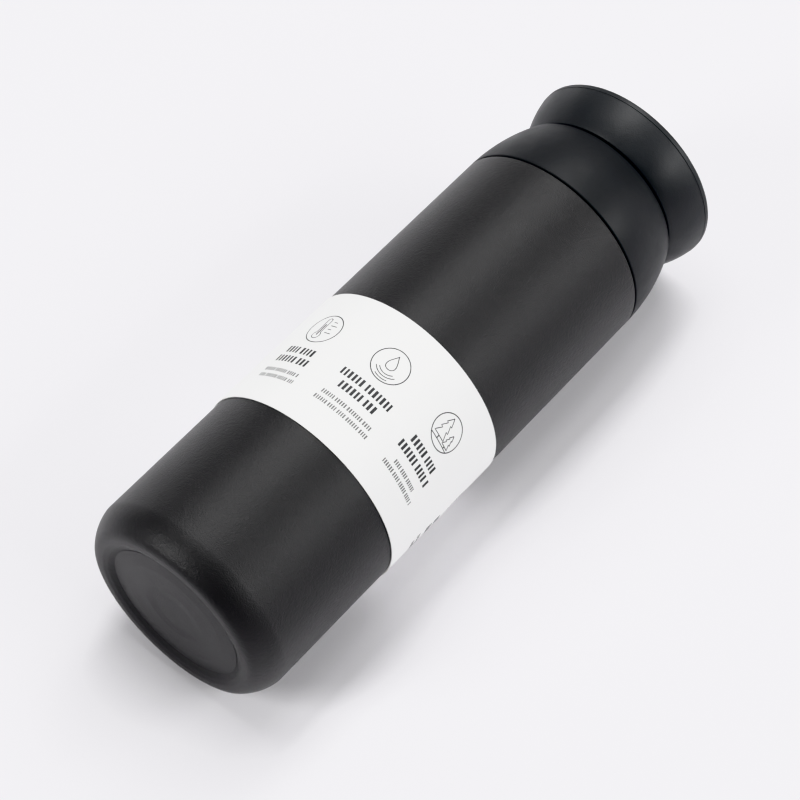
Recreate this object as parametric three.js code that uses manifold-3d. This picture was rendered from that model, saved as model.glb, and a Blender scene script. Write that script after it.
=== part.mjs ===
// A double-walled vacuum flask of the straight travel-tumbler kind, standing upright.
// Millimetres, +Z up, origin at the centre of the foot. Everything but the getter, the
// screw threads and the glued seam of the paper band is a turned form about the Z axis.

import * as THREE from "three";
import { mergeVertices } from "three/addons/utils/BufferGeometryUtils.js";
import Module from "manifold-3d";

const wasm = await Module();
wasm.setup();

// ---- Driving dimensions ----------------------------------------------------------------

const BODY_R = 37.5; // outside radius of the steel body
const SEAM_Z = 188.3; // middle of the gap between the body and the collar
const CAP_SEAM_Z = 215.2; // middle of the gap between the collar and the cap
const TOTAL_H = 231.6; // height over the cap
const SEAM_GAP = 1.0; // both of those gaps
const SHEET = 0.45; // steel sheet of both walls
const PLASTIC = 1.8; // wall of the mouldings
const FOIL = 0.1; // copper foil on the inner wall
const CLEAR = 0.3; // left between pieces that touch

const CORNER_R = 15.5; // arc between the wall and the foot
const CORNER_Z = 11.67; // height of that arc's centre
const FOOT_ROLL_R = 4.2; // tighter arc between that one and the foot ring
const FOOT_IN_R = 28.4; // inner edge of the flat ring that the flask stands on
const RECESS_H = 1.75; // depth of the hollow inside the foot ring

const BORE_R = 32.4; // drinking space
const BORE_FLOOR_Z = 9.0;
const BORE_CORNER_R = 10.0;
const NECK_R = 34.3; // wider stretch that takes the collar
const NECK_FLOOR_Z = 169.6; // ledge under the collar's gasket

const DOME_ARC_R = 64.0; // side of the collar, tangent to the body at the seam
const FLARE_ARC_R = 32.0; // side of the cap, upright at FLARE_TOP_Z
const FLARE_TOP_R = 36.7;
const FLARE_TOP_Z = 234.0;

const SKIRT_R = 32.9; // part of the collar that goes into the neck
const SKIRT_BOTTOM_Z = 172.5;
const SPOUT_OUT_R = 29.2; // drinking lip
const SPOUT_IN_R = 27.3;
const SPOUT_TOP_Z = 221.0;
const SEAT_Z = 207.0; // ledge inside the spout, under the cap's gasket
const SEAT_IN_R = 24.4;
const PLUG_R = 26.0; // stopper under the cap
const NOSE_R = 23.4; // its end, below the gasket
const NOSE_Z = 203.5;

const THREAD_LEAD = 8.0; // two starts, 4 mm apart
const THREAD_STARTS = 2;
const THREAD_TURNS = 0.65; // each ridge
const THREAD_BASE = 1.6; // width at the wall
const THREAD_CREST = 0.8; // width at the crest
const THREAD_OFFSET = 1.9; // the male ridge lies this far under the female one

const BAND_Z = 60.4; // paper band round the body
const BAND_H = 52.3;
const PAPER = 0.35;
const BAND_SEAM_DEG = 114.0; // where its overlap starts, on the side away from the print
const BAND_OVERLAP_DEG = 21.0;
const BAND_LAP = 0.8; // how far the upper layer stands off the lower one

const ROUND = 36; // facets round the large pieces
const ROUND_SMALL = 16; // and round the getter and the seal

// ---- Finishes --------------------------------------------------------------------------

const finish = (color, roughness, metalness) =>
  new THREE.MeshStandardMaterial({ color, roughness, metalness });

const POWDER_COAT = finish(0x2a2a2b, 0.6, 0.1);
const BARE_STEEL = finish(0xa9aaab, 0.35, 0.9);
const COPPER = finish(0xb5744a, 0.3, 1.0);
const SOLDER = finish(0x8f9092, 0.4, 0.9);
const GETTER = finish(0x5d5c58, 0.8, 0.3);
const BLACK_PLASTIC = finish(0x232528, 0.5, 0.0);
const SILICONE = finish(0xc9c9c4, 0.7, 0.0);
const FOAM = finish(0xe9e6dc, 0.9, 0.0);
const WHITE_PAPER = finish(0xf1f1ef, 0.85, 0.0);
const GLUE = finish(0xd8d2bd, 0.6, 0.0);

// ---- Shapes ----------------------------------------------------------------------------

const radians = THREE.MathUtils.degToRad;
const at = (r, z) => new THREE.Vector2(r, z);

// Points on an arc in the (radius, height) half plane, both ends included.
function arc(centre, radius, fromDeg, toDeg, steps) {
  return Array.from({ length: steps + 1 }, (_, i) => {
    const a = radians(THREE.MathUtils.lerp(fromDeg, toDeg, i / steps));
    return at(centre.x + radius * Math.cos(a), centre.y + radius * Math.sin(a));
  });
}

// Points on the arc about a centre between two heights, on its outer side.
function arcBetween(centre, radius, fromZ, toZ, steps) {
  const angle = (z) => THREE.MathUtils.radToDeg(Math.asin((z - centre.y) / radius));
  return arc(centre, radius, angle(fromZ), angle(toZ), steps);
}

// A solid of revolution about Z. The profile runs upwards on its outer side, and starts
// and ends on the axis; a ring's profile is closed by ring().
function turned(profile, facets = ROUND) {
  return new THREE.LatheGeometry(profile, facets).rotateX(Math.PI / 2);
}

function ring(profile, facets = ROUND) {
  return turned([...profile, profile[0].clone()], facets);
}

function toSolid(geometry) {
  const bare = new THREE.BufferGeometry();
  bare.setAttribute("position", geometry.getAttribute("position"));
  bare.setIndex(geometry.getIndex());
  const merged = mergeVertices(bare, 1e-3);
  return new wasm.Manifold(
    new wasm.Mesh({
      numProp: 3,
      vertProperties: merged.attributes.position.array,
      triVerts: new Uint32Array(merged.index.array),
    }),
  );
}

function toGeometry(solid) {
  const mesh = solid.getMesh();
  const geometry = new THREE.BufferGeometry();
  geometry.setAttribute("position", new THREE.BufferAttribute(mesh.vertProperties, 3));
  geometry.setIndex(new THREE.BufferAttribute(mesh.triVerts, 1));
  geometry.computeVertexNormals();
  return geometry;
}

// One ridge of a right-hand thread: a trapezium carried round the axis and up by the
// lead. It is rooted a little inside the wall, and dies into the wall at both ends.
function threadRidge(wallR, crestR, startDeg, startZ) {
  const root = 0.25 * Math.sign(wallR - crestR);
  const section = new THREE.Shape([
    at(root, -THREAD_BASE / 2),
    at(crestR - wallR, -THREAD_CREST / 2),
    at(crestR - wallR, THREAD_CREST / 2),
    at(root, THREAD_BASE / 2),
  ]);
  const steps = Math.round(THREAD_TURNS * ROUND);
  const straight = new THREE.ExtrudeGeometry(section, { depth: 1, steps, bevelEnabled: false });
  const bent = mergeVertices(
    new THREE.BufferGeometry().setAttribute("position", straight.getAttribute("position")),
    1e-4,
  );
  const place = bent.getAttribute("position");
  for (let i = 0; i < place.count; i += 1) {
    const along = 1 - place.getZ(i);
    const fromEnd = Math.min(along, 1 - along) * steps;
    const height = THREE.MathUtils.smoothstep(fromEnd, -0.5, 2.5);
    const out = place.getX(i);
    const r = wallR + (Math.sign(out) === Math.sign(root) ? out : out * height);
    const angle = radians(startDeg) + along * THREAD_TURNS * 2 * Math.PI;
    const z = startZ + along * THREAD_TURNS * THREAD_LEAD + place.getY(i);
    place.setXYZ(i, r * Math.cos(angle), r * Math.sin(angle), z);
  }
  return toSolid(bent);
}

function withThread(geometry, wallR, crestR, startZ) {
  let solid = toSolid(geometry);
  for (let start = 0; start < THREAD_STARTS; start += 1) {
    const turn = (360 / THREAD_STARTS) * start;
    solid = solid.add(threadRidge(wallR, crestR, turn, startZ));
  }
  return solid;
}

function piece(name, geometry, material) {
  const mesh = new THREE.Mesh(geometry, material);
  mesh.name = name;
  return mesh;
}

// ---- Steel body ------------------------------------------------------------------------

// Straight outer wall. Its lower edge is butt-welded to the pressed bottom.
function outerShell() {
  const top = SEAM_Z - SEAM_GAP / 2;
  return ring([
    at(BODY_R - SHEET, CORNER_Z + 1.5 * CLEAR),
    at(BODY_R, CORNER_Z + 1.5 * CLEAR),
    at(BODY_R, top - 0.5),
    at(BODY_R - 0.15, top - 0.15),
    at(BODY_R - 0.5, top),
    at(BODY_R - SHEET, top),
  ]);
}

// Pressed bottom: the rounded corner, the foot ring, the hollow inside it and, in the
// middle, the dimple and hole that the flask was evacuated through.
function outerBottom() {
  const centre = at(BODY_R - CORNER_R, CORNER_Z);
  const rollAngle = Math.asin((CORNER_Z - FOOT_ROLL_R) / (CORNER_R - FOOT_ROLL_R));
  const rollDeg = THREE.MathUtils.radToDeg(rollAngle);
  const roll = at(centre.x + (CORNER_R - FOOT_ROLL_R) * Math.cos(rollAngle), FOOT_ROLL_R);
  const weld = CORNER_Z + 0.5 * CLEAR;
  return ring([
    at(1.3, RECESS_H + 1.0),
    at(4.6, RECESS_H + 1.0),
    at(6.0, RECESS_H),
    at(FOOT_IN_R - 2.9, RECESS_H),
    at(FOOT_IN_R - 1.5, 0.8),
    at(FOOT_IN_R, 0),
    ...arc(roll, FOOT_ROLL_R, -90, -rollDeg, 3),
    ...arc(centre, CORNER_R, -rollDeg, 0, 6).slice(1),
    at(BODY_R, weld),
    at(BODY_R - SHEET, weld),
    ...arc(centre, CORNER_R - SHEET, 0, -rollDeg, 5),
    ...arc(roll, FOOT_ROLL_R - SHEET, -rollDeg, -90, 3).slice(1),
    at(FOOT_IN_R + 0.1, SHEET),
    at(FOOT_IN_R - 1.3, 0.8 + 0.9 * SHEET),
    at(FOOT_IN_R - 2.7, RECESS_H + SHEET),
    at(6.3, RECESS_H + SHEET),
    at(4.9, RECESS_H + SHEET + 1.0),
    at(1.3, RECESS_H + SHEET + 1.0),
  ]);
}

// Bead that closes the evacuation hole from below.
function sealBead() {
  const low = RECESS_H + 0.15;
  const high = RECESS_H + 0.7;
  return turned(
    [at(0, low), at(2.0, low + 0.1), at(3.0, high - 0.2), at(3.1, high), at(0, high)],
    ROUND_SMALL,
  );
}

// Thin disc fixed in the hollow of the foot, over the seal, with a pressed circle.
function baseCover() {
  const low = RECESS_H - CLEAR - SHEET;
  const rim = FOOT_IN_R - 3.2;
  return turned([
    at(0, low + 0.2),
    at(8.8, low + 0.2),
    at(10.8, low),
    at(rim - 0.1, low),
    at(rim, low + 0.1),
    at(rim, RECESS_H - CLEAR),
    at(0, RECESS_H - CLEAR),
  ]);
}

// Deep-drawn inner wall: the drinking space, the ledge for the gasket, the threaded neck
// and the flange that is welded inside the top edge of the outer wall.
function innerVessel() {
  const corner = at(BORE_R - BORE_CORNER_R, BORE_FLOOR_Z + BORE_CORNER_R);
  const top = SEAM_Z - SEAM_GAP / 2;
  const profile = [
    at(0, BORE_FLOOR_Z - SHEET),
    ...arc(corner, BORE_CORNER_R + SHEET, -90, 0, 5),
    at(BORE_R + SHEET, NECK_FLOOR_Z - 1.0),
    at(BORE_R + 1.0, NECK_FLOOR_Z - SHEET),
    at(NECK_R + SHEET, NECK_FLOOR_Z - SHEET),
    at(NECK_R + SHEET, top - SHEET),
    at(BODY_R - SHEET - CLEAR, top - SHEET),
    at(BODY_R - SHEET - CLEAR, top),
    at(NECK_R + 0.3, top),
    at(NECK_R, top - 0.3),
    at(NECK_R, NECK_FLOOR_Z),
    at(BORE_R + 0.4, NECK_FLOOR_Z),
    at(BORE_R, NECK_FLOOR_Z - 0.4),
    ...arc(corner, BORE_CORNER_R, 0, -90, 5),
    at(0, BORE_FLOOR_Z),
  ];
  return toGeometry(withThread(turned(profile), NECK_R, NECK_R - 0.8, 177.0));
}

// Copper foil laid round the inner wall, in the vacuum, against radiated heat.
function copperFoil() {
  const inside = BORE_R + SHEET + CLEAR;
  return ring([
    at(inside, 20),
    at(inside + FOIL, 20),
    at(inside + FOIL, NECK_FLOOR_Z - 4),
    at(inside, NECK_FLOOR_Z - 4),
  ]);
}

function foilBaseDisc() {
  const top = BORE_FLOOR_Z - SHEET - CLEAR;
  return turned([at(0, top - FOIL), at(20, top - FOIL), at(20, top), at(0, top)]);
}

// Small cup welded beside the dimple, with its lip turned in over the getter.
function getterClip() {
  return ring(
    [
      at(1.2, 0),
      at(4.6, 0),
      at(4.9, 0.3),
      at(4.9, 3.5),
      at(3.2, 3.5),
      at(3.2, 3.0),
      at(4.3, 3.0),
      at(4.3, 0.6),
      at(1.2, 0.6),
    ],
    ROUND_SMALL,
  );
}

// Pill of gas-absorbing metal powder that keeps the vacuum hard.
function getterPill() {
  return turned([at(0, 0.9), at(3.9, 0.9), at(3.9, 2.7), at(0, 2.7)], ROUND_SMALL);
}

const vessel = new THREE.Group();
const getter = new THREE.Group();
getter.position.set(14, 0, RECESS_H + SHEET + CLEAR);
getter.add(
  piece("getter_clip", getterClip(), BARE_STEEL),
  piece("getter_pill", getterPill(), GETTER),
);
vessel.add(
  piece("outer_shell", outerShell(), POWDER_COAT),
  piece("outer_bottom", outerBottom(), POWDER_COAT),
  piece("base_cover", baseCover(), POWDER_COAT),
  piece("seal_bead", sealBead(), SOLDER),
  piece("inner_vessel", innerVessel(), BARE_STEEL),
  piece("copper_foil", copperFoil(), COPPER),
  piece("foil_base_disc", foilBaseDisc(), COPPER),
  getter,
);

// ---- Drinking collar -------------------------------------------------------------------

// Domed outer moulding, welded over the core.
function collarShell() {
  const bottom = SEAM_Z + SEAM_GAP / 2;
  const top = CAP_SEAM_Z - SEAM_GAP / 2;
  const centre = at(BODY_R - DOME_ARC_R, bottom);
  const inner = DOME_ARC_R - PLASTIC;
  return ring([
    at(BODY_R - PLASTIC, bottom),
    at(BODY_R - 0.4, bottom),
    ...arcBetween(centre, DOME_ARC_R, bottom + 0.4, top - 0.6, 7),
    at(31.3, top),
    at(SPOUT_OUT_R + 2 * CLEAR, top),
    at(SPOUT_OUT_R + 2 * CLEAR, top - PLASTIC),
    ...arcBetween(centre, inner, top - PLASTIC, bottom + 0.4, 6),
  ]);
}

// Inner moulding: threaded skirt, resting flange, funnel, gasket seat and drinking lip.
function collarCore() {
  const flangeZ = SEAM_Z - SEAM_GAP / 2 + CLEAR;
  const skirtIn = SKIRT_R - 2.0;
  const profile = [
    at(skirtIn, SKIRT_BOTTOM_Z),
    at(SKIRT_R - 0.3, SKIRT_BOTTOM_Z),
    at(SKIRT_R, SKIRT_BOTTOM_Z + 0.3),
    at(SKIRT_R, flangeZ),
    at(BODY_R - PLASTIC - CLEAR, flangeZ),
    at(BODY_R - PLASTIC - CLEAR, flangeZ + PLASTIC),
    at(SKIRT_R, flangeZ + PLASTIC),
    at(SKIRT_R, 197.6),
    at(SPOUT_OUT_R, 202.4),
    ...arc(at(SPOUT_OUT_R - 0.95, SPOUT_TOP_Z - 0.95), 0.95, 0, 180, 4),
    at(SPOUT_IN_R, SEAT_Z),
    at(SEAT_IN_R, SEAT_Z),
    at(SEAT_IN_R, SEAT_Z - PLASTIC),
    at(skirtIn, 197.0),
  ];
  const lower = withThread(ring(profile), SKIRT_R, SKIRT_R + 1.0, 177.0 - THREAD_OFFSET);
  const upper = withThread(ring(profile), SPOUT_IN_R, SPOUT_IN_R - 0.9, 213.4);
  return toGeometry(lower.add(upper));
}

// Disc with four long slots that steadies the flow to any side of the lip.
function flowGuard() {
  const outer = SKIRT_R - 2.0 - 0.4;
  const disc = new THREE.Shape();
  disc.absarc(0, 0, outer, 0, 2 * Math.PI, false);
  const slots = 4;
  for (let i = 0; i < slots; i += 1) {
    const from = radians((360 / slots) * i + 10);
    const to = radians((360 / slots) * (i + 1) - 10);
    const slot = new THREE.Path();
    slot.absarc(0, 0, 27.4, from, to, false);
    slot.absarc(0, 0, 21.4, to, from, true);
    slot.closePath();
    disc.holes.push(slot);
  }
  const depth = 1.6;
  const plate = new THREE.ExtrudeGeometry(disc, { depth, curveSegments: 9, bevelEnabled: false });
  return plate.translate(0, 0, 195.0);
}

// Silicone ring between the end of the skirt and the ledge in the neck.
function collarGasket() {
  const low = NECK_FLOOR_Z + CLEAR;
  const high = SKIRT_BOTTOM_Z - CLEAR;
  return ring([
    at(31.2, low + 0.5),
    at(31.6, low),
    at(32.7, low),
    at(33.2, low + 0.7),
    at(32.7, high),
    at(31.2, high),
  ]);
}

const collar = new THREE.Group();
collar.add(
  piece("collar_shell", collarShell(), BLACK_PLASTIC),
  piece("collar_core", collarCore(), BLACK_PLASTIC),
  piece("flow_guard", flowGuard(), BLACK_PLASTIC),
  piece("collar_gasket", collarGasket(), SILICONE),
);

// ---- Screw cap -------------------------------------------------------------------------

const FLARE_CENTRE = at(FLARE_TOP_R - FLARE_ARC_R, FLARE_TOP_Z);
const PART_LINE_Z = TOTAL_H - 2.1; // under the top plate
const SHELF_Z = SPOUT_TOP_Z + 0.7; // ledge inside the cap that carries the stopper

// Flared side wall, with an inner ledge.
function capShell() {
  const bottom = CAP_SEAM_Z + SEAM_GAP / 2;
  const inner = FLARE_ARC_R - PLASTIC;
  const boreR = SPOUT_OUT_R + 2 * CLEAR;
  return ring([
    at(boreR, bottom),
    at(boreR + 0.8, bottom),
    ...arcBetween(FLARE_CENTRE, FLARE_ARC_R, bottom + 0.4, PART_LINE_Z - CLEAR, 7),
    ...arcBetween(FLARE_CENTRE, inner, PART_LINE_Z - CLEAR, SHELF_Z, 4),
    at(30.2, SHELF_Z),
    at(30.2, SHELF_Z - 1.5),
    ...arcBetween(FLARE_CENTRE, inner, SHELF_Z - 1.5, bottom + 1.6, 2),
  ]);
}

// Top plate with a rounded rim and a ring that snaps inside the side wall.
function capTopPlate() {
  const rim = 2.0;
  const ringR = 33.4;
  return turned([
    at(0, PART_LINE_Z),
    at(ringR - 1.4, PART_LINE_Z),
    at(ringR - 1.4, PART_LINE_Z - 2.9),
    at(ringR, PART_LINE_Z - 2.9),
    at(ringR, PART_LINE_Z),
    ...arc(at(36.4 - rim, TOTAL_H - rim), rim, 0, 90, 4),
    at(32.9, TOTAL_H),
    at(32.3, TOTAL_H - 0.3),
    at(0, TOTAL_H - 0.3),
  ]);
}

// Hollow threaded stopper, welded to the ledge by its flange.
function capPlug() {
  const flangeZ = SHELF_Z + CLEAR;
  const shoulderZ = SEAT_Z + 2.6;
  const profile = [
    at(0, NOSE_Z),
    at(NOSE_R - 0.5, NOSE_Z),
    at(NOSE_R, NOSE_Z + 0.5),
    at(NOSE_R, shoulderZ),
    at(PLUG_R, shoulderZ),
    at(PLUG_R, flangeZ),
    at(31.3, flangeZ),
    at(31.6, flangeZ + 0.3),
    at(31.6, flangeZ + 1.6),
    at(PLUG_R - PLASTIC, flangeZ + 1.6),
    at(PLUG_R - PLASTIC, shoulderZ + PLASTIC),
    at(NOSE_R - PLASTIC, shoulderZ + PLASTIC),
    at(NOSE_R - PLASTIC, NOSE_Z + PLASTIC),
    at(0, NOSE_Z + PLASTIC),
  ];
  return toGeometry(withThread(turned(profile), PLUG_R, PLUG_R + 0.9, 213.4 - THREAD_OFFSET));
}

// Foam block that fills the stopper.
function capInsulation() {
  const noseR = NOSE_R - PLASTIC - CLEAR;
  const upperR = PLUG_R - PLASTIC - CLEAR;
  const stepZ = SEAT_Z + 2.6 + PLASTIC + CLEAR;
  return turned([
    at(0, NOSE_Z + PLASTIC + CLEAR),
    at(noseR, NOSE_Z + PLASTIC + CLEAR),
    at(noseR, stepZ),
    at(upperR, stepZ),
    at(upperR, 226.0),
    at(0, 226.0),
  ]);
}

// Silicone ring round the nose of the stopper, over the seat in the spout.
function capGasket() {
  const low = SEAT_Z + CLEAR;
  const high = SEAT_Z + 2.6 - CLEAR;
  return ring([
    at(NOSE_R + CLEAR, low),
    at(25.6, low),
    at(26.1, low + 0.6),
    at(25.8, high),
    at(NOSE_R + CLEAR, high),
  ]);
}

const cap = new THREE.Group();
cap.add(
  piece("cap_shell", capShell(), BLACK_PLASTIC),
  piece("cap_top_plate", capTopPlate(), BLACK_PLASTIC),
  piece("cap_plug", capPlug(), BLACK_PLASTIC),
  piece("cap_insulation", capInsulation(), FOAM),
  piece("cap_gasket", capGasket(), SILICONE),
);

// ---- Paper band ------------------------------------------------------------------------

// Outline, seen from above, of a strip of sheet between two angles at a given radius,
// which grows by a step over the last turn's overlap.
function stripGeometry(radius, thickness, fromDeg, toDeg, step) {
  const count = Math.round((toDeg - fromDeg) / (360 / ROUND)) + 1;
  const edge = (extra) =>
    Array.from({ length: count + 1 }, (_, i) => {
      const turned = THREE.MathUtils.lerp(fromDeg, toDeg, i / count);
      const lift = step * THREE.MathUtils.smoothstep(turned - fromDeg, 340, 360);
      const r = radius + extra + lift;
      return at(r * Math.cos(radians(turned)), r * Math.sin(radians(turned)));
    });
  return new THREE.Shape([...edge(thickness), ...edge(0).reverse()]);
}

// Band cut from a strip, wrapped once round the body with its end lapped over its start.
function paperSleeve() {
  const to = BAND_SEAM_DEG + 360 + BAND_OVERLAP_DEG;
  const outline = stripGeometry(BODY_R + CLEAR, PAPER, BAND_SEAM_DEG, to, BAND_LAP);
  const band = new THREE.ExtrudeGeometry(outline, { depth: BAND_H, bevelEnabled: false });
  return band.translate(0, 0, BAND_Z);
}

// Line of adhesive in the lap.
function glueStrip() {
  const radius = BODY_R + CLEAR + PAPER + 0.1;
  const outline = stripGeometry(radius, 0.12, BAND_SEAM_DEG + 4, BAND_SEAM_DEG + 17, 0);
  const strip = new THREE.ExtrudeGeometry(outline, { depth: BAND_H - 6, bevelEnabled: false });
  return strip.translate(0, 0, BAND_Z + 3);
}

const band = new THREE.Group();
band.add(
  piece("paper_sleeve", paperSleeve(), WHITE_PAPER),
  piece("sleeve_glue_strip", glueStrip(), GLUE),
);

// ---- The flask -------------------------------------------------------------------------

const flask = new THREE.Group();
flask.add(vessel, collar, cap, band);

export default flask;
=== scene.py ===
import bpy
import numpy as np
from mathutils import Matrix, Vector


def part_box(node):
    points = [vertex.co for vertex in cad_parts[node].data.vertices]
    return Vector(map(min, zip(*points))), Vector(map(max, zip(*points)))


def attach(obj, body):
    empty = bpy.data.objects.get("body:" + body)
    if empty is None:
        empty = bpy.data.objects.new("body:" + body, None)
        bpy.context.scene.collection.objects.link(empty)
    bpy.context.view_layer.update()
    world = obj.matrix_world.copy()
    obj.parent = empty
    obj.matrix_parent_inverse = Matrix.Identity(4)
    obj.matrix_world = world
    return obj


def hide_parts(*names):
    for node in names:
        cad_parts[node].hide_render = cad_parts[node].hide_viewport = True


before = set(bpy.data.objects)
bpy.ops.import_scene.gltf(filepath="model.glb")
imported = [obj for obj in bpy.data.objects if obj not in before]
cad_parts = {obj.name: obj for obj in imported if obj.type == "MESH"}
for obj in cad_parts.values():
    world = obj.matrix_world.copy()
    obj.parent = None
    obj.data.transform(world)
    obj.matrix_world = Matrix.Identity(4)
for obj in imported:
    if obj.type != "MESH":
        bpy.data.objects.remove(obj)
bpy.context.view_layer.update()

# ---- The view ------------------------------------------------------------------------
# The flask lies on its side, so the floor stands upright in its own frame, with its pale
# side towards -Y. The camera looks down at it and along it, from beyond the foot.

scene = bpy.context.scene
scene.view_settings.view_transform = "Khronos PBR Neutral"

floor_up = Vector((0, -1, 0))
camera_tilt = np.radians(54.96)  # over the floor
flask_turn = np.radians(50.43)  # of the flask's axis, from the picture's level line
floor_right = Vector((np.sin(flask_turn), 0, np.cos(flask_turn)))
floor_back = Vector((-np.cos(flask_turn), 0, np.sin(flask_turn)))
camera_back = floor_up * np.sin(camera_tilt) - floor_back * np.cos(camera_tilt)

camera = bpy.data.objects.new("camera", bpy.data.cameras.new("camera"))
camera.data.sensor_width = 36.0
camera.data.lens = 118.1
camera.matrix_world = Matrix.LocRotScale(
    Vector((0.3145, -0.6986, -0.2704)),
    Matrix((floor_right, camera_back.cross(floor_right), camera_back)).transposed(),
    None,
)
scene.collection.objects.link(camera)
scene.camera = camera

# ---- The studio ----------------------------------------------------------------------
# A pale floor that shows from above only, an even pale surround, and soft strip lamps that
# run parallel to the flask: two overhead and one low on each side, with dark gaps between.
# They end a little beyond the foot, and a smaller one further out lights its round corner.

resting_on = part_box("paper_sleeve")[1].x - 0.0002


def nodes_of(material):
    """Node tree of a material with its Principled shader, ready for more nodes."""
    material.use_nodes = True
    return material.node_tree.nodes, material.node_tree.links


def soft_lamp(name, out, middle, width, length, radiance):
    """Rectangular area lamp with its long side in the plane of the flask's axis, facing
    against the direction out. Its power is P = pi A L for the radiance L."""
    lamp = bpy.data.objects.new(name, bpy.data.lights.new(name, "AREA"))
    lamp.data.shape = "RECTANGLE"
    lamp.data.size = width
    lamp.data.size_y = length
    lamp.data.energy = np.pi * width * length * radiance
    axis = Vector((0, 0, 1))
    along = (axis - out * axis.dot(out)).normalized()
    facing = Matrix((along.cross(out), along, out)).transposed()
    lamp.matrix_world = Matrix.LocRotScale(middle, facing, None)
    scene.collection.objects.link(lamp)


lamp_reach = 1.3
strip_low, strip_high = -0.11, 1.65  # heights of a strip's two ends


def strip_lamp(name, direction_deg, width_deg, radiance):
    """Lamp along the flask, in a direction round its axis: -90 is straight up from the floor,
    and 0 and -180 are level with it."""
    a = np.radians(direction_deg)
    out = Vector((np.cos(a), np.sin(a), 0))
    middle = out * lamp_reach + Vector((0, 0, (strip_low + strip_high) / 2))
    width = lamp_reach * np.radians(width_deg)
    soft_lamp(name, out, middle, width, strip_high - strip_low, radiance)


strip_lamp("main_lamp", -103, 18, 5.9)
strip_lamp("top_lamp", -84, 13, 1.7)
strip_lamp("right_lamp", -34, 20, 5.0)
strip_lamp("left_lamp", -171, 16, 1.3)
foot_side = Vector((-0.40, -0.60, -0.72)).normalized()
soft_lamp("foot_lamp", foot_side, foot_side * lamp_reach, 0.34, 0.46, 18.0)

surround = bpy.data.worlds.new("surround")
scene.world = surround
surround.use_nodes = True
sky_nodes = surround.node_tree.nodes
sky_links = surround.node_tree.links
sky_nodes["Background"].inputs["Color"].default_value = (1.0, 0.995, 1.01, 1)
sky_split = sky_nodes.new("ShaderNodeSeparateXYZ")
sky_links.new(sky_nodes.new("ShaderNodeTexCoord").outputs["Generated"], sky_split.inputs[0])
sky_fade = sky_nodes.new("ShaderNodeMapRange")  # dim beyond the foot, bright beyond the cap
sky_fade.interpolation_type = "SMOOTHSTEP"
sky_fade.inputs["From Min"].default_value = -0.6
sky_fade.inputs["From Max"].default_value = 0.5
sky_fade.inputs["To Min"].default_value = 0.07
sky_fade.inputs["To Max"].default_value = 0.48
sky_links.new(sky_split.outputs["Z"], sky_fade.inputs["Value"])
sky_links.new(sky_fade.outputs["Result"], sky_nodes["Background"].inputs["Strength"])

floor_reach = 3.0
floor_mesh = bpy.data.meshes.new("floor")
floor_mesh.from_pydata(
    [
        (x * floor_reach, resting_on, z * floor_reach)
        for x, z in ((-1, -1), (1, -1), (1, 1), (-1, 1))
    ],
    [],
    [(0, 1, 2, 3)],
)
floor = bpy.data.objects.new("floor", floor_mesh)
scene.collection.objects.link(floor)

floor_paint = bpy.data.materials.new("floor_paint")
floor_nodes, floor_links = nodes_of(floor_paint)
floor_shader = floor_nodes["Principled BSDF"]
floor_shader.inputs["Base Color"].default_value = (0.905, 0.895, 0.92, 1)
floor_shader.inputs["Roughness"].default_value = 0.9
floor_shader.inputs["Specular IOR Level"].default_value = 0.1
see_through = floor_nodes.new("ShaderNodeBsdfTransparent")
side = floor_nodes.new("ShaderNodeNewGeometry")
one_sided = floor_nodes.new("ShaderNodeMixShader")
floor_links.new(side.outputs["Backfacing"], one_sided.inputs[0])
floor_links.new(floor_shader.outputs[0], one_sided.inputs[1])
floor_links.new(see_through.outputs[0], one_sided.inputs[2])
floor_links.new(one_sided.outputs[0], floor_nodes["Material Output"].inputs["Surface"])
floor_mesh.materials.append(floor_paint)

# ---- Steel body ----------------------------------------------------------------------
# Outer wall and pressed bottom of stainless sheet, welded, ground and powder-coated as
# one skin: straight side, round bottom corner, flat foot ring and a shallow hollow.

mm = 0.001


def span(node):
    """Outside radius, lowest and highest height of a turned CAD node, in millimetres."""
    low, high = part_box(node)
    return high.x / mm, low.z / mm, high.z / mm


def arc(centre_r, centre_z, radius, from_deg, to_deg, count=24):
    """Points (r, z, 0) = centre + radius (cos a, sin a), for equal steps of a."""
    a = np.radians(np.linspace(from_deg, to_deg, count))
    r, z = centre_r + radius * np.cos(a), centre_z + radius * np.sin(a)
    return list(zip(r, z, 0 * a))


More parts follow.
